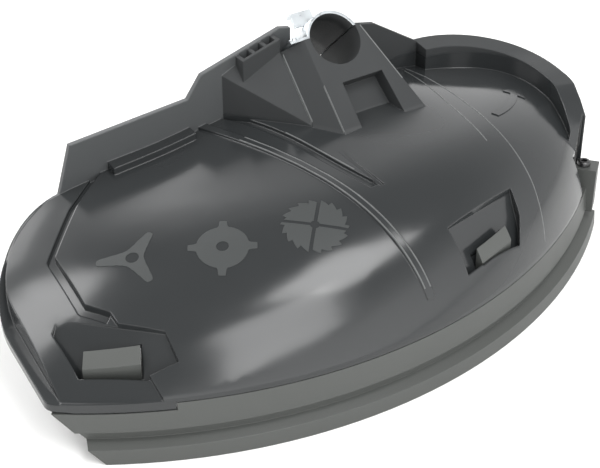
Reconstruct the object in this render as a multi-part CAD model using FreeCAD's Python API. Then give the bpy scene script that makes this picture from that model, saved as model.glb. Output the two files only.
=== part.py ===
import FreeCAD, Part
import math
import os

V = FreeCAD.Vector

# Blade guard of a brush cutter: a domed shell with a clip-on skirt, held to the tube by a strap.
# Millimetres and degrees. X runs along the front wall, Y away from the user, Z up, rim at Z = 0.
# Angles on the rim are counted from the point nearest the user, positive to the right.

# Middle of the whole in plan, which the frame's origin stands under
middle_x = 4.2
middle_y = 11.475

# Rim and plan of the shell
rim_radius = 340.0
rim_centre_x = -5.0
rim_front_y = -100.0
rim_centre_y = rim_front_y + rim_radius
rim_left_angle = -37.5
rim_right_angle = 38.5
seam_height = 37.0
seam_drop = 5.0
seam_drop_angle = -25.0
rim_land = 3.0
wall = 3.0
front_y = 104.0
left_back_x = -203.0
right_side_x = 220.0
right_knee_y = 14.0
left_corner_radius = 85.0
right_corner_radius = 74.0
right_knee_radius = 36.0
rim_corner_radius = 8.0

# Sections of the dome, evenly spaced round the rim from left to right:
# slope at the seam, length of the shoulder, height of the crown, slope of the crown
first_section = -56.0
section_step = 16.0
dome_sections = (
    (10.0, 150.0, 62.0, 7.5),
    (31.0, 136.0, 85.5, 8.0),
    (49.0, 118.0, 90.0, 2.5),
    (63.0, 109.0, 96.0, 2.0),
    (75.0, 94.0, 101.0, 2.0),
    (81.0, 80.0, 103.5, 1.5),
    (78.0, 78.0, 98.0, 1.0),
    (76.0, 78.0, 89.0, 1.0),
)
dome_reach = 232.0
dome_margin = 14.0
profile_steps = 60
profile_points = 16

# Front wall, with its top rising to the tube saddle
front_wall = 3.6
front_wall_left_x = -124.0
front_wall_left_run = 15.0
front_wall_left_z = 116.0
front_kink_x = -38.0
front_kink_z = 122.0
front_rise_x = -27.0
front_rise_z = 137.0
rib_box_x = 34.0
rib_box_z = 154.0
front_wall_right_x = 150.0
front_wall_right_z = 112.0
front_right_knee_x = 112.0
front_right_knee_z = 136.0
ledge_depth = 9.0
ledge_height = 5.0
ledge_left_x = -99.0

# Left end: the edge climbs to the front wall, with a lip round its foot
left_edge_z = 32.4
left_knee_y = 37.0
left_knee_z = 42.0
left_turn_y = 77.0
left_turn_z = 59.0
left_edge_front_z = 78.0
left_lip_width = 9.0
left_lip_thickness = 5.2
left_rounding = 6.0

# Right end: a hollow flange that stands above the dome
right_flange = 15.0
right_lip_path = ((-26.0, 62.0), (-15.5, 83.0), (-4.0, 92.0), (8.0, 98.5), (26.0, 101.5))

# Raised forms of the dome, whose paths start at the front wall, and the lowered zone at the left end
bead_width = 6.0
bead_height = 1.6
bead_start_x = -29.0
bead_path = ((-17.0, 71.0), (-2.0, 23.0), (6.0, -22.0), (12.0, -65.0), (16.0, -92.0))
layer_tilt = 1.8
layer_fade_z = 97.0
ridge_start_x = -7.0
ridge_path = ((1.0, 84.0), (11.0, 54.0), (18.0, 18.0), (27.0, -22.0), (31.0, -36.0))
groove_width = 6.5
groove_depth = 2.4
crease_width = 3.0
crease_depth = 1.8
crease_start_x = -8.0
crease_path = ((6.0, 87.0), (19.0, 70.0), (25.5, 47.0), (27.0, 12.0), (28.0, -24.0))
fine_start_x = 136.0
fine_path = ((134.0, 60.0), (131.0, 10.0), (128.0, -20.0), (127.0, -36.0))
zone_drop = 3.0
channel_width = 5.0
channel_depth = 4.8
zone_start_x = -99.0
zone_path = ((-133.0, 79.0), (-164.0, 48.0), (-167.0, 4.0), (-158.0, -10.0), (-157.0, -48.0))
zone_end_x = -149.0

# Tube saddle
tube_radius = 18.2
tube_x = 63.0
tube_y = 77.4
tube_z = 148.2
tube_pitch = 45.0
saddle_left_wall = 4.8
saddle_foot_right_x = 104.0
saddle_horn_wall = 3.4
saddle_foot_y = 38.0
saddle_top = 5.0
saddle_reach = 70.0
seat_length = 62.0
saddle_side_run = 12.0
saddle_side_depth = 13.4
pocket_depth = 11.0
pocket_left = -9.0
pocket_right = 23.0
pocket_foot_right = 31.0
pocket_top = -30.0
rib_wall = 2.4

# Gusset with open cells, left of the saddle
gusset_left_x = -12.0
gusset_foot_y = 53.0
gusset_foot_z = 104.0
gusset_top = 137.0
gusset_climb = 0.33
gusset_lean = 0.48
cell_count = 3
cell_depth = 7.0
cell_height = 12.0
cell_box_left_x = -1.0
cell_box_drop = 1.0

# Skirt
skirt_wall = 3.0
skirt_flare = 8.0
skirt_waist = 1.6
skirt_gap = 0.4
skirt_left_angle = -37.9
skirt_left_lean = 34.0
step_top = 18.6
step_bottom = 12.6
step_depth = 2.4

# Windows: their corners in plan from the left end of the deep edge round to the right and the front,
# with the height of the ramp at the deep edge and at the front
left_window_corners = (
    (-184.0, 8.0), (-138.0, -39.0), (-139.0, -56.0), (-158.0, -52.0), (-190.0, -29.0), (-190.0, 3.0))
right_window_corners = ((46.5, -67.0), (106.5, -55.5), (104.5, -68.5), (97.0, -79.0), (47.5, -88.0))
left_window = (left_window_corners, 62.5, 38.5)
right_window = (right_window_corners, 81.5, 47.0)

# Latch tongues: insets from the rim and rim angles
left_tongue = (17.0, 26.5, -34.2, -28.2)
right_tongue = (8.5, 14.0, 11.6, 16.8)
tongue_slot = 3.0
tongue_drop = 1.2
tongue_wall = 2.4
tongue_gap = 1.0
foot_thickness = 3.5

# Block at the right end of the skirt, with the line knife and its screw
block_inner_inset = 9.0
block_outer_inset = -6.0
block_left_angle = 37.9
block_right_angle = 40.3
block_top = 51.0
block_bottom = 18.0
block_gap = 0.8
notch_left_angle = 35.6
knife_screw_inset = 4.0
screw_gap = 0.15
knife_thickness = 2.0
knife_reach = 16.0
knife_drop = 12.0
knife_screw_radius = 2.5
screw_head_radius = 4.6
screw_head_height = 3.4
screw_head_chamfer = 1.2

# Clamp strap over the tube
strap_thickness = 2.0
strap_width = 54.0
strap_back = 1.5
strap_ear = 12.0
strap_ear_width = 14.0
strap_room = 0.6
strap_gap = 0.1
tab_length = 16.0
tab_rise = 8.0
tab_depth = 6.0
clamp_screw_radius = 2.0
clamp_screw_depth = 9.0
clamp_head_radius = 3.6
clamp_head_height = 2.6


def rim_point(inset, angle, z=0.0):
    """A point at a distance inside the rim circle."""
    radius = rim_radius - inset
    turn = math.radians(angle)
    return V(rim_centre_x + radius * math.sin(turn), rim_centre_y - radius * math.cos(turn), z)


def section_line(section, depth):
    """Inset and height along one dome section, evenly spaced, set in by a depth."""
    foot_slope, shoulder, crown, crown_slope = section
    base = seam_height + rim_land
    rise = crown - base
    foot = math.tan(math.radians(foot_slope))
    top = math.tan(math.radians(crown_slope))
    corner = (rise - shoulder * top) / (foot - top)
    line = [(-dome_margin, -dome_margin * foot)]
    if foot > 1:
        line = [(-dome_margin / foot, -dome_margin)]
    for i in range(profile_steps + 1):
        t = i / profile_steps
        inset = 2 * t * (1 - t) * corner + t * t * shoulder
        line.append((inset, 2 * t * (1 - t) * corner * foot + t * t * rise))
    line.append((dome_reach, rise + (dome_reach - shoulder) * top))
    lengths = [0.0]
    for (a, b), (c, d) in zip(line, line[1:]):
        lengths.append(lengths[-1] + math.hypot(c - a, d - b))
    points = []
    for k in range(profile_points):
        target = lengths[-1] * k / (profile_points - 1)
        i = max(j for j in range(len(line) - 1) if lengths[j] <= target + 1e-9)
        run = lengths[i + 1] - lengths[i]
        share = (target - lengths[i]) / run
        across = line[i + 1][0] - line[i][0]
        up = line[i + 1][1] - line[i][1]
        inset = line[i][0] + share * across + depth * up / run
        points.append((inset, base + line[i][1] + share * up - depth * across / run))
    return points


def under_dome(depth):
    """Everything under the dome surface, set in by a depth."""
    rows = []
    for i, section in enumerate(dome_sections):
        angle = first_section + section_step * i
        rows.append([rim_point(inset, angle, z) for inset, z in section_line(section, depth)])
    surface = Part.BSplineSurface()
    surface.interpolate(rows)
    return surface.toShape().extrude(V(0, 0, -2 * rib_box_z))


def plan_wire(left_inset):
    """Outline of the shell seen from above, with its rounded corners and its left side drawn in."""
    left = rim_point(0, rim_left_angle + math.degrees(left_inset / rim_radius))
    right = rim_point(0, rim_right_angle)
    knee = V(right_side_x, right_knee_y, 0)
    right_back = V(right_side_x, front_y, 0)
    left_back = V(left_back_x + left_inset, front_y, 0)
    edges = [Part.Arc(left, rim_point(0, 0), right).toShape()]
    for start, end in ((right, knee), (knee, right_back), (right_back, left_back), (left_back, left)):
        edges.append(Part.makeLine(start, end))
    prism = Part.Face(Part.Wire(edges)).extrude(V(0, 0, seam_height))
    rounding = (
        (left, rim_corner_radius),
        (right, rim_corner_radius),
        (knee, right_knee_radius),
        (right_back, right_corner_radius),
        (left_back, left_corner_radius - left_inset),
    )
    for corner, radius in rounding:
        upright = [e for e in prism.Edges if is_upright_at(e, corner)]
        prism = prism.makeFillet(radius, upright)
    return min(prism.Faces, key=lambda face: face.CenterOfMass.z).OuterWire


def is_upright_at(edge, corner):
    """Whether an edge stands straight up over a corner of the plan."""
    middle = edge.CenterOfMass
    return edge.BoundBox.ZLength > 1 and math.hypot(middle.x - corner.x, middle.y - corner.y) < 0.01


def plan_prism(wire, inset, bottom, top):
    """The plan outline, drawn in by an inset and raised between two heights."""
    if inset > 0:
        wire = wire.makeOffset2D(-inset)
    prism = Part.Face(wire).extrude(V(0, 0, top - bottom))
    return prism.translated(V(0, 0, bottom))


def side_prism(points, left, right):
    """A prism along X from (y, z) points."""
    wire = Part.makePolygon([V(left, y, z) for y, z in points] + [V(left, *points[0])])
    return Part.Face(wire).extrude(V(right - left, 0, 0))


def box_between(low, high):
    return Part.makeBox(*(high - low), low)


def rim_sector(inner, outer, first, last, bottom, top):
    """A block between two insets and two angles of the rim."""
    face = Part.Face(Part.Wire([
        Part.Arc(*[rim_point(outer, a) for a in (first, (first + last) / 2, last)]).toShape(),
        Part.makeLine(rim_point(outer, last), rim_point(inner, last)),
        Part.Arc(*[rim_point(inner, a) for a in (last, (first + last) / 2, first)]).toShape(),
        Part.makeLine(rim_point(inner, first), rim_point(outer, first)),
    ]))
    return face.extrude(V(0, 0, top - bottom)).translated(V(0, 0, bottom))


def grown_sector(inner, outer, first, last, bottom, top, grow):
    """A rim sector with a margin all round."""
    turn = math.degrees(grow / rim_radius)
    return rim_sector(inner + grow, outer - grow, first - turn, last + turn, bottom, top)


def left_edge_line(lift):
    """The climbing left edge as (y, z) points, raised by a lift."""
    start = rim_point(0, rim_left_angle).y - rim_corner_radius
    line = (
        (start, left_edge_z),
        (left_knee_y, left_knee_z),
        (left_turn_y, left_turn_z),
        (front_y, left_edge_front_z),
    )
    return [(y, z + lift) for y, z in line]


def rounded_left(body, radius):
    """The body with the top of its left side rounded."""
    foot = seam_height + rim_land
    edges = []
    for edge in body.Edges:
        box = edge.BoundBox
        middle = edge.CenterOfMass
        if middle.x < front_wall_left_x and box.ZMin > foot and middle.z > foot + radius / 2:
            edges.append(edge)
    return body.makeFillet(radius, edges)


def path_band(first, second, bottom, top):
    """A prism between two curves of the plan, each through a few points."""
    rails = []
    for points in (first, second):
        curve = Part.BSplineCurve()
        curve.interpolate([V(x, y, bottom) for x, y in points])
        rails.append(curve.toShape())
    return Part.makeRuledSurface(*rails).extrude(V(0, 0, top - bottom))


def widened(line, left, right):
    """Two curves of the plan beside a line, each shifted along X."""
    return [[(x + shift, y) for x, y in line] for shift in (left, right)]


def raised_forms(dome, tilted):
    """The bead and the layer that rise towards the saddle, and the ledge of the front wall."""
    back = front_y - front_wall / 2
    bead_line = ((bead_start_x, back),) + bead_path
    ridge_line = ((ridge_start_x, back),) + ridge_path
    fine_line = ((fine_start_x, back),) + fine_path
    band = path_band(*widened(bead_line, -bead_width / 2, bead_width / 2), seam_height, tube_z)
    bead = band.common(dome.translated(V(0, 0, bead_height)))
    layer = path_band(ridge_line, fine_line, seam_height, tube_z).common(tilted)
    low = V(ledge_left_x, front_y - front_wall - ledge_depth, seam_height)
    ledge = box_between(low, V(front_kink_x, front_y, tube_z)).common(dome.translated(V(0, 0, ledge_height)))
    return [bead, layer, ledge]


def tilted_dome(dome):
    """The dome turned up towards the front wall, about the end of the ridge."""
    tilted = dome.copy()
    tilted.rotate(V(0, ridge_path[-1][1], layer_fade_z), V(1, 0, 0), layer_tilt)
    return tilted


def grooves(dome, tilted):
    """The wide groove at the foot of the layer, and the crease along the foot of the gusset."""
    back = front_y - front_wall
    ridge_line = ((ridge_start_x, back),) + ridge_path[:-1]
    wide = path_band(*widened(ridge_line, -groove_width, 0), seam_height, tube_z)
    crease_line = ((crease_start_x, back),) + crease_path
    thin = path_band(*widened(crease_line, -crease_width / 2, crease_width / 2), seam_height, tube_z)
    return [
        wide.cut(dome.translated(V(0, 0, -groove_depth))),
        thin.cut(tilted.translated(V(0, 0, -crease_depth))),
    ]


def zone_corners():
    """The inner boundary of the left zone, from the front wall to the rim."""
    return ((zone_start_x, front_y),) + zone_path + ((zone_end_x, rim_front_y - dome_margin),)


def zone_prism():
    """The plan of the left zone, raised through the dome."""
    outside = left_back_x - left_corner_radius
    corners = zone_corners() + ((outside, rim_front_y - dome_margin), (outside, front_y))
    wire = Part.makePolygon([V(x, y, 0) for x, y in corners + corners[:1]])
    return Part.Face(wire).extrude(V(0, 0, tube_z))


def zone_band(reach, corners):
    """A strip of plan, with a reach to either side of a line, raised through the dome."""
    points = [V(x, y, 0) for x, y in corners]
    bands = [Part.makeCylinder(reach, tube_z, point) for point in points[1:-1]]
    for start, end in zip(points, points[1:]):
        side = (end - start).cross(V(0, 0, 1)).normalize() * reach
        wire = Part.makePolygon([start - side, end - side, end + side, start + side, start - side])
        bands.append(Part.Face(wire).extrude(V(0, 0, tube_z)))
    return bands[0].fuse(bands[1:])


def left_zone(dome):
    """The stepped-down zone at the left end, with a channel along its boundary as far as the window."""
    zone = zone_prism()
    channel = zone_band(channel_width, zone_corners()[:-2]).common(zone)
    lowered = dome.translated(V(0, 0, -channel_depth))
    return zone.cut(dome.translated(V(0, 0, -zone_drop))).fuse(channel.cut(lowered))


def zone_floor(inside):
    """What stays solid inside, under the zone, its channel and the riser at its boundary."""
    zone = zone_prism()
    channel = zone_band(channel_width + wall, zone_corners()[:-2]).common(zone)
    riser = zone_band(wall, zone_corners()).fuse(channel)
    lowered = inside.translated(V(0, 0, -channel_depth))
    return zone.cut(inside.translated(V(0, 0, -zone_drop))).fuse(riser.cut(lowered))


def front_plate():
    """The front wall, whose top edge climbs to the saddle from both sides."""
    foot = seam_height * 1.8
    outline = (
        (front_wall_left_x - front_wall_left_run, foot),
        (front_wall_left_x, front_wall_left_z),
        (front_kink_x, front_kink_z),
        (front_rise_x, front_rise_z),
        (rib_box_x, rib_box_z),
        (front_right_knee_x, front_right_knee_z),
        (front_wall_right_x, front_wall_right_z),
        (front_wall_right_x, foot),
    )
    points = [V(x, front_y - front_wall, z) for x, z in outline]
    return Part.Face(Part.makePolygon(points + points[:1])).extrude(V(0, front_wall, 0))


def right_ring(wire, outer, inner, lowering):
    """A ring round the right end between two insets, whose top falls away towards the skirt block."""
    ring = plan_prism(wire, outer, -seam_height, tube_z).cut(plan_prism(wire, inner, -tube_z, 2 * tube_z))
    line = right_lip_path + ((front_y, front_wall_right_z),)
    outline = [(y, z - lowering) for y, z in line] + [(front_y, -seam_height), (line[0][0], -seam_height)]
    return ring.common(side_prism(outline, front_wall_right_x + lowering, right_side_x + wall))


def right_rim(wire):
    """The flange round the right end, above the seam."""
    above = plan_prism(wire, 0, seam_height, tube_z)
    return right_ring(wire, 0, right_flange, 0).common(above)


def left_lip():
    """The lip along the climbing left edge."""
    outline = left_edge_line(0) + left_edge_line(left_lip_thickness)[::-1]
    slab = side_prism(outline, left_back_x - left_corner_radius, front_wall_left_x)
    ring = plan_prism(plan_wire(0), 0, 0, tube_z)
    ring = ring.cut(plan_prism(plan_wire(left_lip_width), wall, -wall, tube_z + wall))
    return ring.common(slab)


def below_left_edge():
    """Everything under the climbing left edge."""
    outline = left_edge_line(0) + left_edge_line(-tube_z)[::-1]
    return side_prism(outline, left_back_x - left_corner_radius, front_wall_left_x + wall)


def tube_point(x, out, up):
    """A place in the tube's own frame: across, out along the tube to the user, and up from its axis."""
    pitch = math.radians(tube_pitch)
    along = V(0, -math.cos(pitch), math.sin(pitch))
    above = V(0, math.sin(pitch), math.cos(pitch))
    return V(tube_x + x, tube_y, tube_z) + along * out + above * up


def tube_prism(points, start, end):
    """A prism along the tube from points across it."""
    wire = Part.makePolygon([tube_point(x, start, up) for x, up in points + points[:1]])
    return Part.Face(wire).extrude(tube_point(0, end, 0) - tube_point(0, start, 0))


def tube_box(low_x, high_x, low_up, high_up, start, end):
    corners = ((low_x, low_up), (high_x, low_up), (high_x, high_up), (low_x, high_up))
    return tube_prism(corners, start, end)


def tube_bore(radius, start, end):
    """A cylinder on the tube's axis."""
    axis = tube_point(0, end, 0) - tube_point(0, start, 0)
    return Part.makeCylinder(radius, axis.Length, tube_point(0, start, 0), axis)


def saddle():
    """The block that carries the tube, with a slanted left side and a pocket at its foot."""
    edge = -tube_radius - saddle_left_wall
    left = edge - saddle_side_run
    foot = (saddle_foot_y - tube_y) / math.sin(math.radians(tube_pitch))
    right = tube_radius + saddle_horn_wall
    foot_right = saddle_foot_right_x - tube_x
    slope = (foot_right - right) / (foot - saddle_top)
    deep = 2 * foot
    deep_right = right + slope * (deep - saddle_top)
    outline = ((left, deep), (left, saddle_top), (right, saddle_top), (deep_right, deep))
    block = tube_prism(outline, 0, -3 * saddle_reach)
    low = V(tube_x - saddle_reach, 0, 0)
    block = block.common(box_between(low, V(tube_x + saddle_reach, front_y, 2 * tube_z)))
    over = saddle_side_run
    beyond = over * saddle_side_depth / saddle_side_run
    corners = ((edge + over, beyond), (left - over, beyond), (left - over, -saddle_side_depth - beyond))
    points = [tube_point(x, out, deep) for x, out in corners + corners[:1]]
    side = Part.Face(Part.makePolygon(points)).extrude(tube_point(0, 0, -deep) - tube_point(0, 0, deep))
    pocket = tube_prism((
        (pocket_left, pocket_top),
        (pocket_right, pocket_top),
        (pocket_foot_right, deep),
        (pocket_left, deep),
    ), pocket_depth, -pocket_depth)
    return block.cut(side).cut(pocket)


def seat_collar():
    """The trough that carries the seat of the tube on beyond the front wall."""
    radius = tube_radius + saddle_horn_wall
    sides = tube_box(-radius, radius, 0, saddle_top, 0, -seat_length)
    lower = tube_box(-radius, radius, -radius, saddle_top, 0, -seat_length)
    trough = tube_bore(radius, 0, -seat_length).fuse(sides).common(lower)
    low = V(tube_x - saddle_reach, front_y - front_wall, 0)
    return trough.common(box_between(low, low + V(2 * saddle_reach, 2 * saddle_reach, 2 * tube_z)))


def tube_passage():
    """The seat of the tube, open at the top."""
    length = 2 * seat_length
    open_top = tube_box(-tube_radius, tube_radius, 0, length, tube_radius, -length)
    half = tube_radius + strap_thickness + strap_room
    strap_way = tube_box(-half, half, saddle_top, length, tube_radius, -length)
    return tube_bore(tube_radius, tube_radius, -length).fuse([open_top, strap_way])


def rib_box():
    """The ribbed gusset on the left of the saddle, with open cells along the front wall."""
    right = tube_x - tube_radius - saddle_left_wall - saddle_side_run
    back = front_y - front_wall
    corners = ((gusset_left_x, back), (right, gusset_foot_y), (right, back))
    block = Part.Face(Part.makePolygon([V(x, y, seam_height) for x, y in corners + corners[:1]]))
    block = block.extrude(V(0, 0, tube_z - seam_height))
    foot = V(right, gusset_foot_y, gusset_foot_z)
    block = block.cut(half_space(foot, V(-gusset_lean, -1, 1).normalize()))
    block = block.cut(half_space(V(0, 0, gusset_top), V(-gusset_climb, 0, 1).normalize()))
    slope = (rib_box_z - front_rise_z) / (rib_box_x - front_rise_x)
    low = V(cell_box_left_x, back - cell_depth - rib_wall, gusset_top - cell_height)
    box = box_between(low, V(right, back, tube_z + cell_height))
    top = V(front_rise_x, back, front_rise_z - cell_box_drop)
    block = block.fuse(box.cut(half_space(top, V(-slope, 0, 1).normalize())))
    cell = (right - cell_box_left_x - rib_wall) / cell_count
    for i in range(cell_count):
        low = V(cell_box_left_x + rib_wall + i * cell, back - cell_depth, gusset_top - cell_height / 2)
        block = block.cut(box_between(low, low + V(cell - rib_wall, cell_depth, 3 * cell_height)))
    return block


def half_space(point, normal):
    """Everything beyond a plane, as a large block."""
    size = 2 * rim_radius
    block = Part.makeBox(size, size, size, V(-size / 2, -size / 2, 0))
    block.Placement = FreeCAD.Placement(point, FreeCAD.Rotation(V(0, 0, 1), normal))
    return block


def window_pocket(window, grow):
    """A recess whose floor ramps down from the deep edge to the front."""
    corners, ramp_top, floor = window
    wire = Part.makePolygon([V(x, y, 0) for x, y in corners + corners[:1]])
    if grow > 0:
        wire = wire.makeOffset2D(grow)
    prism = Part.Face(wire).extrude(V(0, 0, 2 * tube_z))
    left, right = [V(x, y, ramp_top - grow) for x, y in corners[:2]]
    front = V(*corners[3], floor - grow)
    return prism.common(half_space(front, (front - left).cross(right - left).normalize()))


def block_notch(grow):
    """Room in the shell for the block at the end of the skirt and its screw, open at the top."""
    return grown_sector(block_inner_inset, block_outer_inset, notch_left_angle, block_right_angle,
                        -seam_height, tube_z, block_gap + grow)


def guard_body():
    """The moulded shell: dome, windows, left lip, right and front walls, gusset and saddle."""
    wire = plan_wire(left_lip_width)
    dome = under_dome(0)
    body = rounded_left(dome.common(plan_prism(wire, 0, seam_height, 2 * tube_z)), left_rounding)
    tilted = tilted_dome(dome)
    body = body.cut(left_zone(dome))
    start = rim_left_angle + math.degrees(rim_corner_radius / rim_radius)
    low_rim = rim_sector(wall, 0, start, seam_drop_angle, seam_height - seam_drop, seam_height + rim_land / 2)
    body = body.fuse(raised_forms(dome, tilted))
    for groove in grooves(dome, tilted):
        body = body.cut(groove)
    body = body.fuse([low_rim, front_plate(), right_rim(wire), left_lip(), saddle(), rib_box()])
    low = V(front_wall_left_x + wall, front_y - dome_margin, -seam_height)
    mouth = box_between(low, V(front_wall_right_x - wall, front_y + dome_margin, tube_z))
    inside = under_dome(wall)
    hollow = inside.common(plan_prism(wire, wall, -seam_height, tube_z).fuse(mouth)).cut(zone_floor(inside))
    for window in (left_window, right_window):
        hollow = hollow.cut(window_pocket(window, wall))
    hollow = hollow.cut(block_notch(wall))
    body = body.cut(hollow).cut(right_ring(wire, wall, right_flange - wall, wall))
    body = body.cut(below_left_edge()).fuse(seat_collar()).cut(tube_passage()).cut(block_notch(0))
    for window in (left_window, right_window):
        body = body.cut(window_pocket(window, 0))
    for inset, deep, first, last in (left_tongue, right_tongue):
        body = body.cut(grown_sector(deep + tongue_slot, inset, first, last, 0, tube_z, tongue_gap))
    return body


def skirt():
    """The clip-on skirt: a stepped band round the rim, two latch tongues and the knife block."""
    top = seam_height - skirt_gap
    outer = (
        (0.0, top),
        (skirt_waist, step_top),
        (skirt_waist - step_depth, step_top - step_depth / 2),
        (skirt_waist - step_depth, step_bottom),
        (skirt_flare - skirt_waist / 2, step_bottom - step_depth),
        (skirt_flare, 0.0),
    )
    inner = [(out - skirt_wall, z) for out, z in reversed(outer)]
    start = skirt_left_angle
    points = [rim_point(-out, start, z) for out, z in list(outer) + inner]
    face = Part.Face(Part.makePolygon(points + points[:1]))
    axis = V(rim_centre_x, rim_centre_y, 0)
    band = face.revolve(axis, V(0, 0, 1), block_right_angle - start)
    dome = under_dome(0)
    ends = (block_left_angle, block_right_angle)
    pieces = [rim_sector(block_inner_inset, block_outer_inset, *ends, block_bottom, block_top)]
    left_top = top - seam_drop
    for (inset, deep, first, last), under in ((left_tongue, left_top), (right_tongue, top)):
        face_under = dome.translated(V(0, 0, -tongue_drop))
        tongue = rim_sector(deep, inset, first, last, under - foot_thickness, tube_z).common(face_under)
        core = grown_sector(deep, inset, first, last, 0, tube_z, -tongue_wall)
        tongue = tongue.cut(core.common(dome.translated(V(0, 0, -tongue_drop - tongue_wall))))
        foot = rim_sector(inset + tongue_wall, skirt_wall / 2, first, last, under - foot_thickness, under)
        pieces += [tongue, foot]
    turn = math.degrees(skirt_gap / rim_radius)
    ends = (start - turn, seam_drop_angle + turn)
    low_seam = rim_sector(skirt_wall + wall, -skirt_flare, *ends, left_top, top + wall)
    whole = band.cut(low_seam).fuse(pieces)
    lean = math.degrees(skirt_left_lean / rim_radius)
    end = Part.Face(Part.makePolygon([
        rim_point(-2 * skirt_flare, start, top), rim_point(-2 * skirt_flare, start + lean, 0),
        rim_point(-2 * skirt_flare, start - lean, 0), rim_point(-2 * skirt_flare, start, top),
    ]))
    whole = whole.cut(end.extrude(rim_point(3 * skirt_flare, start) - rim_point(-2 * skirt_flare, start)))
    return whole.cut(knife_hole())


def knife_axis(z):
    return rim_point(knife_screw_inset, (block_left_angle + block_right_angle) / 2, z)


def knife_hole():
    height = 2 * block_top
    return Part.makeCylinder(knife_screw_radius + screw_gap, height, knife_axis(-block_bottom), V(0, 0, 1))


def line_knife():
    """Bent steel blade under the block: a tab on the screw and a ground leg that cuts the line."""
    outer = skirt_wall - skirt_waist + step_depth + screw_gap
    low = block_bottom - knife_thickness
    inner = outer + knife_reach
    first = block_left_angle
    tab = rim_sector(inner, outer, first, block_right_angle, low, block_bottom)
    turn = math.degrees(knife_thickness / rim_radius)
    leg = rim_sector(inner, outer, first, first + turn, low - knife_drop, block_bottom)
    corner = rim_point(inner, first + turn, low)
    ground = Part.Face(Part.makePolygon([
        corner,
        rim_point(inner, first + turn, low - knife_drop),
        rim_point(inner - 2 * knife_thickness, first + turn, low - knife_drop),
        corner,
    ]))
    across = rim_point(inner, first) - rim_point(inner, first + turn)
    return tab.fuse(leg).cut(ground.extrude(across)).cut(knife_hole())


def knife_screw():
    """Pan-head screw down through the block into the knife."""
    shank = block_top - block_bottom + 2 * knife_thickness
    screw = Part.makeCylinder(knife_screw_radius, shank, knife_axis(block_top - shank), V(0, 0, 1))
    head = Part.makeCylinder(screw_head_radius, screw_head_height, knife_axis(block_top), V(0, 0, 1))
    rim = max((e for e in head.Edges if len(e.Vertexes) == 1), key=lambda edge: edge.CenterOfMass.z)
    return screw.fuse(head.makeChamfer(screw_head_chamfer, [rim]))


def clamp_strap():
    """Bent steel strap over the tube: a half ring, a screw ear on the left and a tab at the back."""
    front = -strap_back
    back = front - strap_width
    outside = tube_radius + strap_thickness
    ring = tube_bore(outside, front, back).cut(tube_bore(tube_radius, 1, 2 * back))
    seat = saddle_top + strap_gap
    ring = ring.cut(tube_box(-2 * outside, 2 * outside, -2 * outside, seat, 1, 2 * back))
    ear_left = -outside - strap_ear
    grip = front - strap_ear_width
    ear = tube_box(ear_left, -tube_radius, seat, seat + strap_thickness, front, grip)
    riser_top = outside + tab_rise
    riser = tube_box(-tab_length, 0, tube_radius, riser_top, grip, grip - strap_thickness)
    tab = tube_box(-tab_length, 0, riser_top - strap_thickness, riser_top, grip, grip - tab_depth)
    strap = ring.fuse([ear, riser, tab]).cut(tube_bore(tube_radius, 1, 4 * back))
    return strap.cut(clamp_hole())


def clamp_place(up):
    """A place on the axis of the strap's screw, above the saddle's top."""
    across = -tube_radius - strap_thickness - strap_ear / 2
    return tube_point(across, -strap_back - strap_ear_width / 2, saddle_top + up)


def clamp_hole():
    low = clamp_place(-clamp_screw_depth - screw_gap)
    axis = clamp_place(strap_ear) - low
    return Part.makeCylinder(clamp_screw_radius + screw_gap, axis.Length, low, axis)


def clamp_screw():
    """Screw down through the ear of the strap into the saddle."""
    under = clamp_place(strap_gap + strap_thickness)
    end = clamp_place(-clamp_screw_depth)
    shank = Part.makeCylinder(clamp_screw_radius, (end - under).Length, under, end - under)
    head = Part.makeCylinder(clamp_head_radius, clamp_head_height, under, under - end)
    return shank.fuse(head)


os.makedirs("parts", exist_ok=True)
pieces = {
    "guard_body": guard_body().cut(clamp_hole()),
    "skirt": skirt(),
    "line_knife": line_knife(),
    "knife_screw": knife_screw(),
    "clamp_strap": clamp_strap(),
    "clamp_screw": clamp_screw(),
}
for name, shape in pieces.items():
    shape = shape.removeSplitter().translated(V(-middle_x, -middle_y, 0))
    print(name, len(shape.Solids), shape.isValid(), round(shape.Volume))
    shape.exportStep("parts/" + name + ".step")
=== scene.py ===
import math

import bmesh
import bpy
from mathutils import Matrix, Vector
from mathutils.bvhtree import BVHTree


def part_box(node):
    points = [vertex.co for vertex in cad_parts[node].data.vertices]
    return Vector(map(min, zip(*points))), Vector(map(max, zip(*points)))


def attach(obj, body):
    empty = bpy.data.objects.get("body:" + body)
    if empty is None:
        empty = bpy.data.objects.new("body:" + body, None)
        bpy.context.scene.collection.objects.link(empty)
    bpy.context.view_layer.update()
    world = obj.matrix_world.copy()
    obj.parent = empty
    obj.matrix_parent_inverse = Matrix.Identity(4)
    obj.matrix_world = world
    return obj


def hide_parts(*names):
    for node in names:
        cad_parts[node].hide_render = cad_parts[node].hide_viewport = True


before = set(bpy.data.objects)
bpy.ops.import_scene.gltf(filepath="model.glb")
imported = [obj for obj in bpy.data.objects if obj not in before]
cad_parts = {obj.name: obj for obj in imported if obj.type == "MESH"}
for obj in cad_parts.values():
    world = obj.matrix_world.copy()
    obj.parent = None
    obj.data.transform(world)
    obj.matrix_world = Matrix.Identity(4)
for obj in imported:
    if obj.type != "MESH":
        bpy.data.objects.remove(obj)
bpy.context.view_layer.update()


# Guard shell: one deep injection moulding in dark grey polypropylene, polished on the dome.
# Its edges are slightly rounded by the mould. The saddle, gusset and walls are moulded with it.
MM = 0.001
SHELL_GREY = "#2B2D2E"
SHELL_GLOSS = (0.12, 0.20)
SHELL_EDGE = 1.2 * MM
FLOW_WAVE = 55 * MM
ORANGE_PEEL = 2.2 * MM
SADDLE_FOOT = 103 * MM
SADDLE_FADE = 3 * MM
SADDLE_DULLING = 0.6
# Painted light: the front wall is drawn a lighter grey than the shell, standing in for the light that falls
# on it.
WALL_PAINTED_LIGHT_GREY = "#454748"
WALL_ROUGHNESS = 0.5
WALL_FACE = 88.7 * MM
WALL_END = 60 * MM
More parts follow.
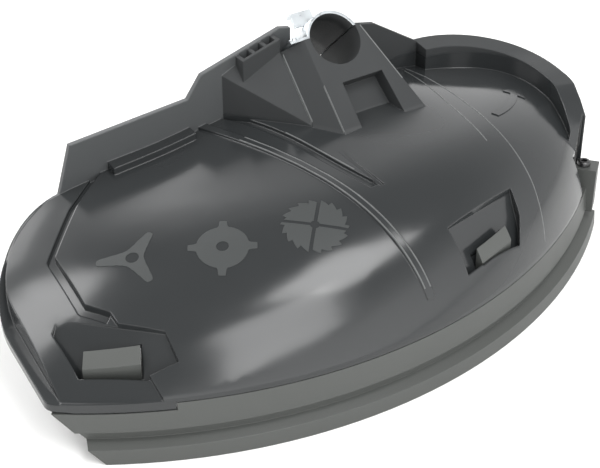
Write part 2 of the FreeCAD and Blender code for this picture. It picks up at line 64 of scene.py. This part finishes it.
SAME_POINT = 0.002 * MM
REAL_EDGE = math.radians(28)


def linear(code):
    """An sRGB hex colour as linear RGBA."""
    parts = [int(code[i:i + 2], 16) / 255 for i in (1, 3, 5)]
    return [p / 12.92 if p <= 0.04045 else ((p + 0.055) / 1.055) ** 2.4 for p in parts] + [1.0]


def add(tree, kind, inputs=None, **settings):
    """Adds a shader node with its settings, its values and its links."""
    made = tree.nodes.new(kind)
    for name, value in settings.items():
        setattr(made, name, value)
    for name, value in (inputs or {}).items():
        if isinstance(value, bpy.types.NodeSocket):
            tree.links.new(value, made.inputs[name])
        else:
            made.inputs[name].default_value = value
    return made


def start_material(name):
    """An empty material with its object coordinates."""
    material = bpy.data.materials.new(name)
    material.use_nodes = True
    tree = material.node_tree
    tree.nodes.clear()
    return material, tree, add(tree, "ShaderNodeTexCoord").outputs["Object"]


def place_piece(name, mesh, material, slot, *nodes):
    """Makes a mesh a piece of the guard, in place of CAD nodes where some are named."""
    mesh.materials.clear()
    mesh.materials.append(material)
    piece = bpy.data.objects.new(name, mesh)
    bpy.context.scene.collection.objects.link(piece)
    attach(piece, "root")
    if nodes:
        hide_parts(*nodes)
    return piece


def dress(node, name, material):
    """Puts a copy of a CAD node in its place, with its triangles joined and smooth but for real edges."""
    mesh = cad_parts[node].data.copy()
    mesh.name = name
    if mesh.has_custom_normals:
        mesh.attributes.remove(mesh.attributes["custom_normal"])
    work = bmesh.new()
    work.from_mesh(mesh)
    bmesh.ops.remove_doubles(work, verts=work.verts, dist=SAME_POINT)
    bmesh.ops.dissolve_degenerate(work, edges=work.edges, dist=SAME_POINT)
    for face in work.faces:
        face.smooth = True
    work.to_mesh(mesh)
    work.free()
    mesh.set_sharp_from_angle(angle=REAL_EDGE)
    return place_piece(name, mesh, material, node, node)


def polished_plastic(name, edge):
    """Grey polypropylene with a clear gloss, faint flow waves, a fine orange peel and soft edges.

    The mould was left as machined at the saddle, gusset and front wall, so they look dull. The front wall is
    also painted a lighter grey, which stands in for the light that falls on it.
    """
    material, tree, place = start_material(name)
    flow = add(tree, "ShaderNodeTexNoise", {
        "Vector": place, "Scale": 1 / FLOW_WAVE, "Detail": 3.0, "Roughness": 0.5})
    gloss = add(tree, "ShaderNodeMapRange", {
        "Value": flow.outputs["Fac"], "From Min": 0.3, "From Max": 0.7,
        "To Min": SHELL_GLOSS[0], "To Max": SHELL_GLOSS[1]})
    axes = add(tree, "ShaderNodeSeparateXYZ", {"Vector": place})
    unpolished = add(tree, "ShaderNodeMapRange", {
        "Value": axes.outputs["Z"], "From Min": SADDLE_FOOT, "From Max": SADDLE_FOOT + SADDLE_FADE,
        "To Max": SADDLE_DULLING})
    finish = add(tree, "ShaderNodeMath", {
        0: gloss.outputs["Result"], 1: unpolished.outputs["Result"]}, operation="ADD")
    behind = add(tree, "ShaderNodeMath", {0: axes.outputs["Y"], 1: WALL_FACE}, operation="GREATER_THAN")
    left = add(tree, "ShaderNodeMath", {0: axes.outputs["X"], 1: WALL_END}, operation="LESS_THAN")
    wall = add(tree, "ShaderNodeMath", {0: behind.outputs[0], 1: left.outputs[0]}, operation="MULTIPLY")
    dulled = add(tree, "ShaderNodeMix", {
        "Factor": wall.outputs[0], "A": finish.outputs[0], "B": WALL_ROUGHNESS})
    # Painted light: the front wall gets a lighter grey for the light on it. Its dull roughness is its own
    # finish.
    grey = add(tree, "ShaderNodeMixRGB", {
        "Fac": wall.outputs[0], "Color1": linear(SHELL_GREY), "Color2": linear(WALL_PAINTED_LIGHT_GREY)})
    peel = add(tree, "ShaderNodeTexNoise", {"Vector": place, "Scale": 1 / ORANGE_PEEL, "Detail": 2.0})
    soft_edge = add(tree, "ShaderNodeBevel", {"Radius": edge}, samples=8)
    skin = add(tree, "ShaderNodeBump", {
        "Height": peel.outputs["Fac"], "Strength": 0.06, "Distance": 0.05 * MM,
        "Normal": soft_edge.outputs["Normal"]})
    shader = add(tree, "ShaderNodeBsdfPrincipled", {
        "Base Color": grey.outputs["Color"], "Roughness": dulled.outputs["Result"], "IOR": 1.49,
        "Normal": skin.outputs["Normal"]})
    add(tree, "ShaderNodeOutputMaterial", {"Surface": shader.outputs["BSDF"]})
    return material


shell = dress("guard_body", "guard_shell", polished_plastic("polished_polypropylene", SHELL_EDGE))


# Pictograms: low pads moulded on the dome that show the cutting tools, and an arrow for the turn.
# The tools are spark eroded in the mould, so they stay dull, and the arrow is polished like the dome.
PAD_GREY = "#303333"
PAD_RISE = 0.35 * MM
PAD_ROOT = 0.9 * MM
PAD_EDGE = 0.5 * MM
ERODED_GRIT = 0.5 * MM
OVER_ALL = 300 * MM

# Eroded polypropylene: an even, dull grey. Its grit is drawn coarser than the real one, to show.
dull, tree, place = start_material("eroded_polypropylene")
grit = add(tree, "ShaderNodeTexNoise", {"Vector": place, "Scale": 1 / ERODED_GRIT, "Detail": 3.0})
tone = add(tree, "ShaderNodeMapRange", {
    "Value": grit.outputs["Fac"], "From Min": 0.3, "From Max": 0.7, "To Min": 0.5, "To Max": 0.62})
soft_edge = add(tree, "ShaderNodeBevel", {"Radius": PAD_EDGE}, samples=8)
grain = add(tree, "ShaderNodeBump", {
    "Height": grit.outputs["Fac"], "Strength": 0.25, "Distance": 0.08 * MM,
    "Normal": soft_edge.outputs["Normal"]})
shader = add(tree, "ShaderNodeBsdfPrincipled", {
    "Base Color": linear(PAD_GREY), "Roughness": tone.outputs["Result"], "IOR": 1.49,
    "Normal": grain.outputs["Normal"]})
add(tree, "ShaderNodeOutputMaterial", {"Surface": shader.outputs["BSDF"]})

shell_tree = BVHTree.FromPolygons(
    [vert.co for vert in shell.data.vertices], [face.vertices for face in shell.data.polygons])


def mesh_from(work, name):
    """A mesh from a finished bmesh."""
    mesh = bpy.data.meshes.new(name)
    work.to_mesh(mesh)
    work.free()
    return mesh


def lay_on_shell(work, name, material):
    """Lays a shape on the shell at a pad's rise, keeps its own relief, and sinks its sides into the wall."""
    for vert in work.verts:
        hit = shell_tree.ray_cast(Vector((vert.co.x, vert.co.y, OVER_ALL)), Vector((0, 0, -1)))[0]
        vert.co.z += hit.z + PAD_RISE
    bmesh.ops.recalc_face_normals(work, faces=work.faces)
    if sum(face.normal.z for face in work.faces) < 0:
        bmesh.ops.reverse_faces(work, faces=work.faces)
    rim = [edge for edge in work.edges if edge.is_boundary]
    sides = bmesh.ops.extrude_edge_only(work, edges=rim)["geom"]
    lower = [item for item in sides if isinstance(item, bmesh.types.BMVert)]
    bmesh.ops.translate(work, verts=lower, vec=(0, 0, -PAD_ROOT))
    place_piece(name, mesh_from(work, name), material, "guard_body")


def tool_disc(centre, turn, hole, count, edge_radius):
    """A flat disc with a hole, whose edge follows a radius for each angle from its first tooth."""
    work = bmesh.new()
    for radius in (1.0, hole):
        bmesh.ops.create_circle(work, segments=count, radius=radius)
    for vert in work.verts:
        if vert.co.length > (1 + hole) / 2:
            angle = math.degrees(math.atan2(vert.co.y, vert.co.x)) % 360
            vert.co *= edge_radius(angle)
    bmesh.ops.bridge_loops(work, edges=work.edges)
    spokes = [edge for edge in work.edges if not edge.is_boundary]
    bmesh.ops.subdivide_edges(work, edges=spokes, cuts=5, use_grid_fill=True)
    spin = Matrix.Rotation(math.radians(turn), 4, "Z")
    bmesh.ops.transform(work, matrix=Matrix.Translation(centre) @ spin, verts=work.verts)
    return work


def between(corners, value):
    """The second value that goes with a first value, along a line of corners."""
    for (a, near), (b, far) in zip(corners, corners[1:]):
        if value <= b:
            return near + (far - near) * (value - a) / (b - a)


STAR_CENTRE = Vector((-133.6, 2.0, 0)) * MM
STAR_HOLE = 4.0 * MM
# Half an arm's edge: pairs of an angle from its middle in degrees and a radius in millimetres
STAR_ARM = ((0, 21.9), (6, 21.4), (11.3, 15.8), (23, 10.4), (40, 7.7), (60.1, 6.8))


def star_edge(angle):
    """Three arms that narrow from a waist to blunt tips."""
    return between(STAR_ARM, abs((angle + 60) % 120 - 60)) * MM


star = tool_disc(STAR_CENTRE, turn=30, hole=STAR_HOLE, count=144, edge_radius=star_edge)
lay_on_shell(star, "pictogram_three_arm", dull)

TOOTHED_CENTRE = Vector((-86.4, -24.3, 0)) * MM
TOOTHED_HOLE = 3.8 * MM
TOOTHED_BODY = 16.0 * MM
TOOTH_LENGTH = 5.0 * MM
TOOTH_TIP = 6
TOOTH_ROOT = 10


def toothed_edge(angle):
    """A round body with four teeth, each with a half angle at its tip and one at its root, in degrees."""
    off = abs((angle + 45) % 90 - 45)
    share = (TOOTH_ROOT - off) / (TOOTH_ROOT - TOOTH_TIP)
    return TOOTHED_BODY + TOOTH_LENGTH * min(1.0, max(0.0, share))


toothed = tool_disc(TOOTHED_CENTRE, turn=57, hole=TOOTHED_HOLE, count=120, edge_radius=toothed_edge)
lay_on_shell(toothed, "pictogram_four_tooth", dull)

SAW_CENTRE = Vector((-31.2, -41.4, 0)) * MM
SAW_HOLE = 3.0 * MM
SAW_BODY = 17.8 * MM
SAW_TOOTH = 3.2 * MM
SAW_PITCH = 20.0
SAW_PHASE = 0.1
SAW_SLOT = 1.1 * MM
SAW_SLOT_TURNS = (48, 138)


def saw_edge(angle):
    """Raked saw teeth all round, with a pitch in degrees."""
    return SAW_BODY + SAW_TOOTH * ((angle - SAW_PHASE) % SAW_PITCH) / SAW_PITCH


saw = tool_disc(SAW_CENTRE, turn=46, hole=SAW_HOLE, count=180, edge_radius=saw_edge)
slots = [Vector((math.cos(math.radians(a)), math.sin(math.radians(a)), 0)) for a in SAW_SLOT_TURNS]
for across in slots:
    for side in (-SAW_SLOT, SAW_SLOT):
        whole = saw.verts[:] + saw.edges[:] + saw.faces[:]
        bmesh.ops.bisect_plane(saw, geom=whole, plane_co=SAW_CENTRE + across * side, plane_no=across)
cut_out = [face for face in saw.faces
           if min(abs((face.calc_center_median() - SAW_CENTRE).dot(a)) for a in slots) < SAW_SLOT]
bmesh.ops.delete(saw, geom=cut_out, context="FACES")
lay_on_shell(saw, "pictogram_saw", dull)

ARROW_TAIL = Vector((136.6, -9.7, 0)) * MM
ARROW_NECK = Vector((171.0, 10.5, 0)) * MM
ARROW_TIP = Vector((185.1, 20.2, 0)) * MM
ARROW_SAG = 3.0 * MM
ARROW_HALF = 2.6 * MM
ARROW_HEAD = 8.0 * MM
CRISP_EDGE = 0.15 * MM

# Crisp polished polypropylene: the gloss of the dome, with edges that stay sharp on small forms.
crisp = polished_plastic("polished_polypropylene_crisp", CRISP_EDGE)
arrow = bmesh.new()
bmesh.ops.create_grid(arrow, x_segments=10, y_segments=2, size=1.0)
along = ARROW_NECK - ARROW_TAIL
side = Vector((-along.y, along.x, 0)).normalized()
for vert in arrow.verts:
    share = (vert.co.x + 1) / 2
    bow = 4 * share * (1 - share) * ARROW_SAG
    vert.co = ARROW_TAIL + along * share + side * (vert.co.y * ARROW_HALF - bow)
ahead = ARROW_TIP - ARROW_NECK
wing = Vector((-ahead.y, ahead.x, 0)).normalized() * ARROW_HEAD
corners = [arrow.verts.new(p) for p in (ARROW_NECK + wing, ARROW_NECK - wing, ARROW_TIP)]
point = arrow.faces.new(corners)
bmesh.ops.subdivide_edges(arrow, edges=point.edges[:], cuts=4, use_grid_fill=True)
bmesh.ops.translate(arrow, verts=arrow.verts, vec=(0, 0, PAD_RISE))
lay_on_shell(arrow, "pictogram_arrow", crisp)


# Glint ridges: two fine ridges where inserts of the mould meet, and ridges on the edges of the bead, groove
# and saddle.
# They stand out from the moulding. Their pale grey is painted highlight, standing in for glints of light on
# these edges.
GLINT_GREYS = ("#4A4C4C", "#646666")
GLINT_PATCH = 4 * MM
LINE_HALF = 0.5 * MM
# In millimetres from here on: half the bead's width, and the lines' corners as pairs of y and x
BEAD_HALF = 2.1
LONG_LINE = ((-84, 121.2), (-65, 123.5), (-45, 124.5), (-15, 126.5), (23, 131), (63, 134.5), (86, 134.5))
SHORT_LINE = ((-32, 111), (-8, 114.3), (16, 118.2), (49, 124.5), (81, 130))
BEAD_LINE = (
    (-100, 11.3), (-76.5, 7.8), (-33.5, 1.8), (-11, -1.6), (11.5, -6.2), (35.5, -12.9), (58, -20.6))
GROOVE_LINE = ((-13, 18.3), (-11, 17.9), (11.5, 13.6), (23, 11.5), (35.5, 9.1), (47, 6.3))
SADDLE_LEFT = ((42.5, 24.1), (77, 24.1))
SADDLE_MIDDLE = ((22.5, 35.8), (46, 35.8))
SADDLE_RIGHT = ((38, 94.3), (68.5, 80.5))

# Painted glints: a paler, patchy grey with little gloss, painted on the ridges as highlights on the edges.
glint_paint, tree, place = start_material("painted_glint_polypropylene")
patches = add(tree, "ShaderNodeTexNoise", {"Vector": place, "Scale": 1 / GLINT_PATCH, "Detail": 3.0})
pale = add(tree, "ShaderNodeMixRGB", {
    "Fac": patches.outputs["Fac"], "Color1": linear(GLINT_GREYS[0]), "Color2": linear(GLINT_GREYS[1])})
shader = add(tree, "ShaderNodeBsdfPrincipled", {
    "Base Color": pale.outputs["Color"], "Roughness": 0.4, "IOR": 1.49})
add(tree, "ShaderNodeOutputMaterial", {"Surface": shader.outputs["BSDF"]})

for name, corners, shift in (
        ("witness_line_long", LONG_LINE, 0),
        ("witness_line_short", SHORT_LINE, 0),
        ("bead_edge_left", BEAD_LINE, -BEAD_HALF),
        ("bead_edge_right", BEAD_LINE, BEAD_HALF),
        ("groove_edge", GROOVE_LINE, 0),
        ("saddle_edge_left", SADDLE_LEFT, 0),
        ("saddle_edge_middle", SADDLE_MIDDLE, 0),
        ("saddle_edge_right", SADDLE_RIGHT, 0)):
    ridge = bmesh.new()
    bmesh.ops.create_grid(ridge, x_segments=120, y_segments=6, size=1.0)
    first, last = corners[0][0], corners[-1][0]
    for vert in ridge.verts:
        y = first + (vert.co.x + 1) / 2 * (last - first)
        x = between(corners, min(y, last)) + shift
        vert.co = Vector((x * MM + vert.co.y * LINE_HALF, y * MM, -vert.co.y ** 2 * PAD_RISE))
    for face in ridge.faces:
        face.smooth = True
    lay_on_shell(ridge, name, glint_paint)


# Shade plates: thin plates under the shell's two windows that close the tongues' slots, so that these show
# dark.
# They stand in for the shade under the dome, and lie just under the ramps of the windows.
RIM_CENTRE = Vector((-9.2, 228.525, 0)) * MM
PLATE_DROP = 3.3 * MM
PLATE_THICK = 1.2 * MM
LEFT_RAMP = ((-188.2, -3.475, 62.5), (-142.2, -50.475, 62.5), (-162.2, -63.475, 38.5))
RIGHT_RAMP = ((42.3, -78.475, 81.5), (102.3, -66.975, 81.5), (92.8, -90.475, 47.0))


def shade_plate(name, ramp, radii, degrees):
    """A thin plate under a ramp through three points, between two radii and angles of the rim, in mm."""
    at = [Vector(p) * MM for p in ramp]
    up = (at[1] - at[0]).cross(at[2] - at[0])
    work = bmesh.new()
    bmesh.ops.create_grid(work, x_segments=4, y_segments=4, size=0.5)
    for vert in work.verts:
        radius = radii[0] + (vert.co.x + 0.5) * (radii[1] - radii[0])
        angle = math.radians(degrees[0] + (vert.co.y + 0.5) * (degrees[1] - degrees[0]))
        flat = RIM_CENTRE + Vector((math.sin(angle), -math.cos(angle), 0)) * radius * MM
        fall = (up.x * (flat.x - at[0].x) + up.y * (flat.y - at[0].y)) / up.z
        vert.co = Vector((flat.x, flat.y, at[0].z - fall - PLATE_DROP))
    made = bmesh.ops.extrude_face_region(work, geom=work.faces[:])["geom"]
    below = [item for item in made if isinstance(item, bmesh.types.BMVert)]
    bmesh.ops.translate(work, verts=below, vec=(0, 0, -PLATE_THICK))
    bmesh.ops.recalc_face_normals(work, faces=work.faces)
    place_piece(name, mesh_from(work, name), crisp, "guard_body")


shade_plate("shade_plate_left", LEFT_RAMP, radii=(306.5, 323.0), degrees=(-28.18, -27.4))
shade_plate("shade_plate_right", RIGHT_RAMP, radii=(320.0, 325.9), degrees=(11.3, 17.0))


# Skirt: a second moulding clipped on round the rim, with a stepped band and two latch tongues.
# It is moulded in the same grey with a fine grain all over, so it looks lighter and dull.
SKIRT_GREY = "#474947"
SKIRT_GRAIN = 0.9 * MM
SKIRT_CLOUD = 60 * MM
SKIRT_EDGE = 0.6 * MM

# Grained polypropylene: a soft sheen without clear reflections. The grain is drawn coarse, to show.
grained, tree, place = start_material("grained_polypropylene")
grit = add(tree, "ShaderNodeTexNoise", {
    "Vector": place, "Scale": 1 / SKIRT_GRAIN, "Detail": 4.0, "Roughness": 0.6})
cloud = add(tree, "ShaderNodeTexNoise", {"Vector": place, "Scale": 1 / SKIRT_CLOUD, "Detail": 2.0})
dulling = add(tree, "ShaderNodeMapRange", {
    "Value": cloud.outputs["Fac"], "From Min": 0.3, "From Max": 0.7, "To Min": 0.42, "To Max": 0.52})
soft_edge = add(tree, "ShaderNodeBevel", {"Radius": SKIRT_EDGE}, samples=8)
grain = add(tree, "ShaderNodeBump", {
    "Height": grit.outputs["Fac"], "Strength": 0.3, "Distance": 0.12 * MM,
    "Normal": soft_edge.outputs["Normal"]})
shader = add(tree, "ShaderNodeBsdfPrincipled", {
    "Base Color": linear(SKIRT_GREY), "Roughness": dulling.outputs["Result"], "IOR": 1.49,
    "Normal": grain.outputs["Normal"]})
add(tree, "ShaderNodeOutputMaterial", {"Surface": shader.outputs["BSDF"]})
dress("skirt", "clip_on_skirt", grained)


# Line knife: a bent strip of spring steel under the block, ground to an edge on its leg.
# It is stamped and ground, so it has fine parallel scratches.
KNIFE_STEEL = "#B9B9B6"
SCRATCH_LENGTH = 1.2 * MM
SCRATCH_STRETCH = 12.0

# Ground spring steel: a grey metal whose gloss is broken into streaks, drawn coarser than real ones.
ground_steel, tree, place = start_material("ground_spring_steel")
stretch = add(tree, "ShaderNodeMapping", {"Vector": place, "Scale": (1.0, 1.0, SCRATCH_STRETCH)})
scratch = add(tree, "ShaderNodeTexNoise", {
    "Vector": stretch.outputs["Vector"], "Scale": 1 / SCRATCH_LENGTH, "Detail": 3.0})
polish = add(tree, "ShaderNodeMapRange", {
    "Value": scratch.outputs["Fac"], "From Min": 0.3, "From Max": 0.7, "To Min": 0.25, "To Max": 0.4})
lines = add(tree, "ShaderNodeBump", {
    "Height": scratch.outputs["Fac"], "Strength": 0.15, "Distance": 0.05 * MM})
shader = add(tree, "ShaderNodeBsdfPrincipled", {
    "Base Color": linear(KNIFE_STEEL), "Metallic": 1.0, "Roughness": polish.outputs["Result"],
    "Normal": lines.outputs["Normal"]})
add(tree, "ShaderNodeOutputMaterial", {"Surface": shader.outputs["BSDF"]})
dress("line_knife", "line_knife_blade", ground_steel)


# Knife screw: a pan head screw with a hexagon socket, of steel blackened in hot oil.
# It goes down through the block and draws the knife up against it.
OILED_BLACK = "#141415"
OIL_SPOT = 1.5 * MM
SCREW_SIDES = 48
SCREW_SHARP = math.radians(30)
HEXAGON = 6
# The head and its socket, in millimetres
KNIFE_HEAD = 3.4
KNIFE_SOCKET = 2.3
KNIFE_SOCKET_DEPTH = 2.0

# Blackened steel: a thin black oxide with a low, slightly spotted sheen.
blackened, tree, place = start_material("blackened_steel")
oil = add(tree, "ShaderNodeTexNoise", {"Vector": place, "Scale": 1 / OIL_SPOT, "Detail": 3.0})
sheen = add(tree, "ShaderNodeMapRange", {
    "Value": oil.outputs["Fac"], "From Min": 0.3, "From Max": 0.7, "To Min": 0.3, "To Max": 0.45})
shader = add(tree, "ShaderNodeBsdfPrincipled", {
    "Base Color": linear(OILED_BLACK), "Roughness": sheen.outputs["Result"], "IOR": 1.8})
add(tree, "ShaderNodeOutputMaterial", {"Surface": shader.outputs["BSDF"]})


def turned(name, rings, place):
    """A closed form from rings of radius and height in millimetres and a corner count, where 0 is round."""
    work = bmesh.new()
    first = bmesh.ops.create_circle(work, segments=SCREW_SIDES, radius=1.0)["verts"]
    edges = list({edge for vert in first for edge in vert.link_edges})
    bmesh.ops.edgeloop_fill(work, edges=edges)
    for i, (radius, height, corners) in enumerate(rings):
        if i:
            made = bmesh.ops.extrude_edge_only(work, edges=edges)["geom"]
            edges = [item for item in made if isinstance(item, bmesh.types.BMEdge)]
        for vert in {vert for edge in edges for vert in edge.verts}:
            angle = math.atan2(vert.co.y, vert.co.x)
            reach = radius
            if corners:
                half = math.pi / corners
                reach = radius * math.cos(half) / math.cos(angle % (2 * half) - half)
            vert.co = Vector((reach * math.cos(angle), reach * math.sin(angle), height)) * MM
    bmesh.ops.edgeloop_fill(work, edges=edges)
    bmesh.ops.recalc_face_normals(work, faces=work.faces)
    bmesh.ops.transform(work, matrix=place, verts=work.verts)
    for face in work.faces:
        face.smooth = True
    mesh = mesh_from(work, name)
    mesh.set_sharp_from_angle(angle=SCREW_SHARP)
    return mesh


low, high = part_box("knife_screw")
tall = (high.z - low.z) / MM
knife_rings = (
    (2.5, 0.0, 0),
    (2.5, tall - KNIFE_HEAD, 0),
    (4.6, tall - KNIFE_HEAD, 0),
    (4.6, tall - 0.45 * KNIFE_HEAD, 0),
    (4.35, tall - 0.2 * KNIFE_HEAD, 0),
    (3.8, tall - 0.05 * KNIFE_HEAD, 0),
    (3.2, tall, 0),
    (KNIFE_SOCKET + 0.2, tall, HEXAGON),
    (KNIFE_SOCKET, tall - 0.25, HEXAGON),
    (KNIFE_SOCKET, tall - KNIFE_SOCKET_DEPTH, HEXAGON),
)
spot = Matrix.Translation(((low.x + high.x) / 2, (low.y + high.y) / 2, low.z))
knife_screw = turned("knife_screw_black", knife_rings, spot)
place_piece("knife_screw_black", knife_screw, blackened, "knife_screw", "knife_screw")


# Clamp strap: bent from steel strip and zinc plated, it presses the tube into the saddle.
# It has an ear for its screw on the left and a bent tab for the thumb on top.
ZINC_WHITE = "#C3C8CB"
ZINC_CRYSTAL = 2.5 * MM
ZINC_BLOOM = 6 * MM
STRAP_EDGE = 0.4 * MM

# Zinc plated steel: a bright bluish metal, clouded by a bloom. Its crystals are drawn coarse, to show.
zinc, tree, place = start_material("zinc_plated_steel")
spangle = add(tree, "ShaderNodeTexVoronoi", {"Vector": place, "Scale": 1 / ZINC_CRYSTAL})
bloom = add(tree, "ShaderNodeTexNoise", {"Vector": place, "Scale": 1 / ZINC_BLOOM, "Detail": 4.0})
frost = add(tree, "ShaderNodeMapRange", {
    "Value": bloom.outputs["Fac"], "From Min": 0.3, "From Max": 0.7, "To Min": 0.24, "To Max": 0.38})
soft_edge = add(tree, "ShaderNodeBevel", {"Radius": STRAP_EDGE}, samples=8)
crystal = add(tree, "ShaderNodeBump", {
    "Height": spangle.outputs["Distance"], "Strength": 0.06, "Distance": 0.1 * MM,
    "Normal": soft_edge.outputs["Normal"]})
shader = add(tree, "ShaderNodeBsdfPrincipled", {
    "Base Color": linear(ZINC_WHITE), "Metallic": 1.0, "Roughness": frost.outputs["Result"],
    "Normal": crystal.outputs["Normal"]})
add(tree, "ShaderNodeOutputMaterial", {"Surface": shader.outputs["BSDF"]})
dress("clamp_strap", "zinc_strap", zinc)


# Shade sheet: a thin black sheet inside the strap, which is painted shade. It stands in for the shade in the
# strap's bore.
# It has a fine dull grain.
SHADE_BLACK = "#151718"
SHADE_SHEET_GRAIN = 0.8 * MM
TUBE_TOP = Vector((58.8, 65.925, 148.2)) * MM
TUBE_UP = Vector((0, 1, 1)).normalized()
TUBE_DOWN = Vector((0, 1, -1)).normalized()
SHEET_RADIUS = 18.15 * MM
SHEET_START = 1.6 * MM
SHEET_LENGTH = 55.3 * MM
SHEET_HALF_ARC = math.radians(73.7)
SHEET_THICK = 0.1 * MM

# Painted shade: nearly matt and almost black. The grain is drawn coarser than the real one, to
# show.
shade_paint, tree, place = start_material("painted_shade_black")
grit = add(tree, "ShaderNodeTexNoise", {"Vector": place, "Scale": 1 / SHADE_SHEET_GRAIN, "Detail": 3.0})
wear = add(tree, "ShaderNodeMapRange", {
    "Value": grit.outputs["Fac"], "From Min": 0.3, "From Max": 0.7, "To Min": 0.55, "To Max": 0.7})
grain = add(tree, "ShaderNodeBump", {
    "Height": grit.outputs["Fac"], "Strength": 0.2, "Distance": 0.1 * MM})
shader = add(tree, "ShaderNodeBsdfPrincipled", {
    "Base Color": linear(SHADE_BLACK), "Roughness": wear.outputs["Result"], "IOR": 1.5,
    "Normal": grain.outputs["Normal"]})
add(tree, "ShaderNodeOutputMaterial", {"Surface": shader.outputs["BSDF"]})

shade_sheet = bmesh.new()
bmesh.ops.create_grid(shade_sheet, x_segments=36, y_segments=4, size=1.0)
for vert in shade_sheet.verts:
    turn = vert.co.x * SHEET_HALF_ARC
    down = SHEET_START + (vert.co.y + 1) / 2 * SHEET_LENGTH
    outward = Vector((1, 0, 0)) * math.sin(turn) + TUBE_UP * math.cos(turn)
    vert.co = TUBE_TOP + TUBE_DOWN * down + outward * SHEET_RADIUS
for face in shade_sheet.faces:
    face.smooth = True
bmesh.ops.reverse_faces(shade_sheet, faces=shade_sheet.faces)
bmesh.ops.solidify(shade_sheet, geom=shade_sheet.faces[:], thickness=SHEET_THICK)
place_piece("strap_shade_sheet", mesh_from(shade_sheet, "strap_shade_sheet"), shade_paint, "clamp_strap")


# Clamp screw: a zinc plated pan head screw with a hexagon socket, turned from the same steel.
# It goes down through the ear of the strap into the saddle.
CLAMP_TILT = math.radians(-45)
# The shank's radius and the rings, in millimetres
CLAMP_SHANK = 2.0
CLAMP_RINGS = (
    (CLAMP_SHANK, 0.0, 0),
    (CLAMP_SHANK, 11.1, 0),
    (3.6, 11.1, 0),
    (3.6, 12.5, 0),
    (3.3, 13.3, 0),
    (2.6, 13.7, 0),
    (1.8, 13.7, HEXAGON),
    (1.7, 13.5, HEXAGON),
    (1.7, 12.3, HEXAGON),
)
low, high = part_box("clamp_screw")
foot = CLAMP_SHANK * MM * math.sqrt(0.5)
spot = Matrix.Translation(((low.x + high.x) / 2, low.y + foot, low.z + foot))
clamp_screw = turned("zinc_screw", CLAMP_RINGS, spot @ Matrix.Rotation(CLAMP_TILT, 4, "X"))
place_piece("zinc_screw", clamp_screw, zinc, "clamp_screw", "clamp_screw")


# Floor and light: a white table between two white walls, in front and behind, under a darker ceiling.
# Two softboxes over the front draw the broad gleam on the dome, and two behind those on its left end.
AIM = Vector((-19.2, -7.5, 62.3)) * MM
TABLE_WHITE = "#F4F4F3"
TABLE_HALF = 12.0

# White table: matt paint that keeps the shadow and gives no gleam of its own.
paint, tree, place = start_material("white_table")
shader = add(tree, "ShaderNodeBsdfPrincipled", {"Base Color": linear(TABLE_WHITE), "Roughness": 0.9})
add(tree, "ShaderNodeOutputMaterial", {"Surface": shader.outputs["BSDF"]})
table = bmesh.new()
bmesh.ops.create_grid(table, x_segments=1, y_segments=1, size=TABLE_HALF)
floor = bpy.data.objects.new("studio_floor", mesh_from(table, "studio_floor"))
floor.data.materials.append(paint)
bpy.context.scene.collection.objects.link(floor)


def stand_round(obj, azimuth, elevation, distance):
    """Stands a lamp or camera off, facing the guard. Azimuth 0 is at the user and 90 on the right."""
    a, e = math.radians(azimuth), math.radians(elevation)
    away = Vector((math.sin(a) * math.cos(e), -math.cos(a) * math.cos(e), math.sin(e)))
    obj.location = AIM + away * distance
    obj.rotation_euler = (-away).to_track_quat("-Z", "Y").to_euler()
    bpy.context.scene.collection.objects.link(obj)


def softbox(name, azimuth, elevation, distance, width, height, radiance):
    """A rectangular lamp of an even radiance, aimed at the guard, with its sizes in metres."""
    lamp = bpy.data.lights.new(name, "AREA")
    lamp.shape = "RECTANGLE"
    lamp.size = width
    lamp.size_y = height
    lamp.energy = radiance * math.pi * width * height
    box = bpy.data.objects.new(name, lamp)
    box.visible_camera = False
    stand_round(box, azimuth, elevation, distance)


softbox("high_softbox", 44, 70, 1.7, 0.62, 0.62, 8.6)
softbox("front_softbox", -2, 53, 1.7, 0.68, 1.0, 6.2)
softbox("left_softbox", -135, 54, 1.8, 1.1, 0.5, 7.0)
softbox("back_softbox", 178, 28, 1.8, 1.3, 0.62, 2.6)

CEILING_GLOW = 0.35
SIDE_GLOW = 0.6
WALL_GLOW = 1.5
WALL_TOP = (0.5, 0.82)
world = bpy.data.worlds.new("studio")
bpy.context.scene.world = world
world.use_nodes = True
tree = world.node_tree
tree.nodes.clear()
way = add(tree, "ShaderNodeTexCoord").outputs["Generated"]
parts = add(tree, "ShaderNodeSeparateXYZ", {"Vector": way})
low_down = add(tree, "ShaderNodeMapRange", {
    "Value": parts.outputs["Z"], "From Min": WALL_TOP[0], "From Max": WALL_TOP[1],
    "To Min": 1.0, "To Max": 0.0})
facing = add(tree, "ShaderNodeMath", {0: parts.outputs["Y"], 1: parts.outputs["Y"]}, operation="MULTIPLY")
walls = add(tree, "ShaderNodeMath", {
    0: facing.outputs[0], 1: WALL_GLOW, 2: SIDE_GLOW}, operation="MULTIPLY_ADD")
glow = add(tree, "ShaderNodeMath", {
    0: walls.outputs[0], 1: low_down.outputs[0], 2: CEILING_GLOW}, operation="MULTIPLY_ADD")
sky = add(tree, "ShaderNodeBackground", {"Color": (1, 1, 1, 1), "Strength": glow.outputs[0]})
add(tree, "ShaderNodeOutputWorld", {"Surface": sky.outputs["Background"]})


# Camera: a long lens on a full-frame sensor, so that the guard is drawn with little perspective.
# It stands to the left of the user and above, as the photograph was taken.
lens = bpy.data.cameras.new("camera")
lens.lens = 90.0
lens.sensor_width = 36.0
lens.dof.use_dof = False
camera = bpy.data.objects.new("camera", lens)
stand_round(camera, azimuth=-34.0, elevation=34.0, distance=0.9536)
bpy.context.scene.camera = camera
bpy.context.scene.view_settings.view_transform = "Standard"
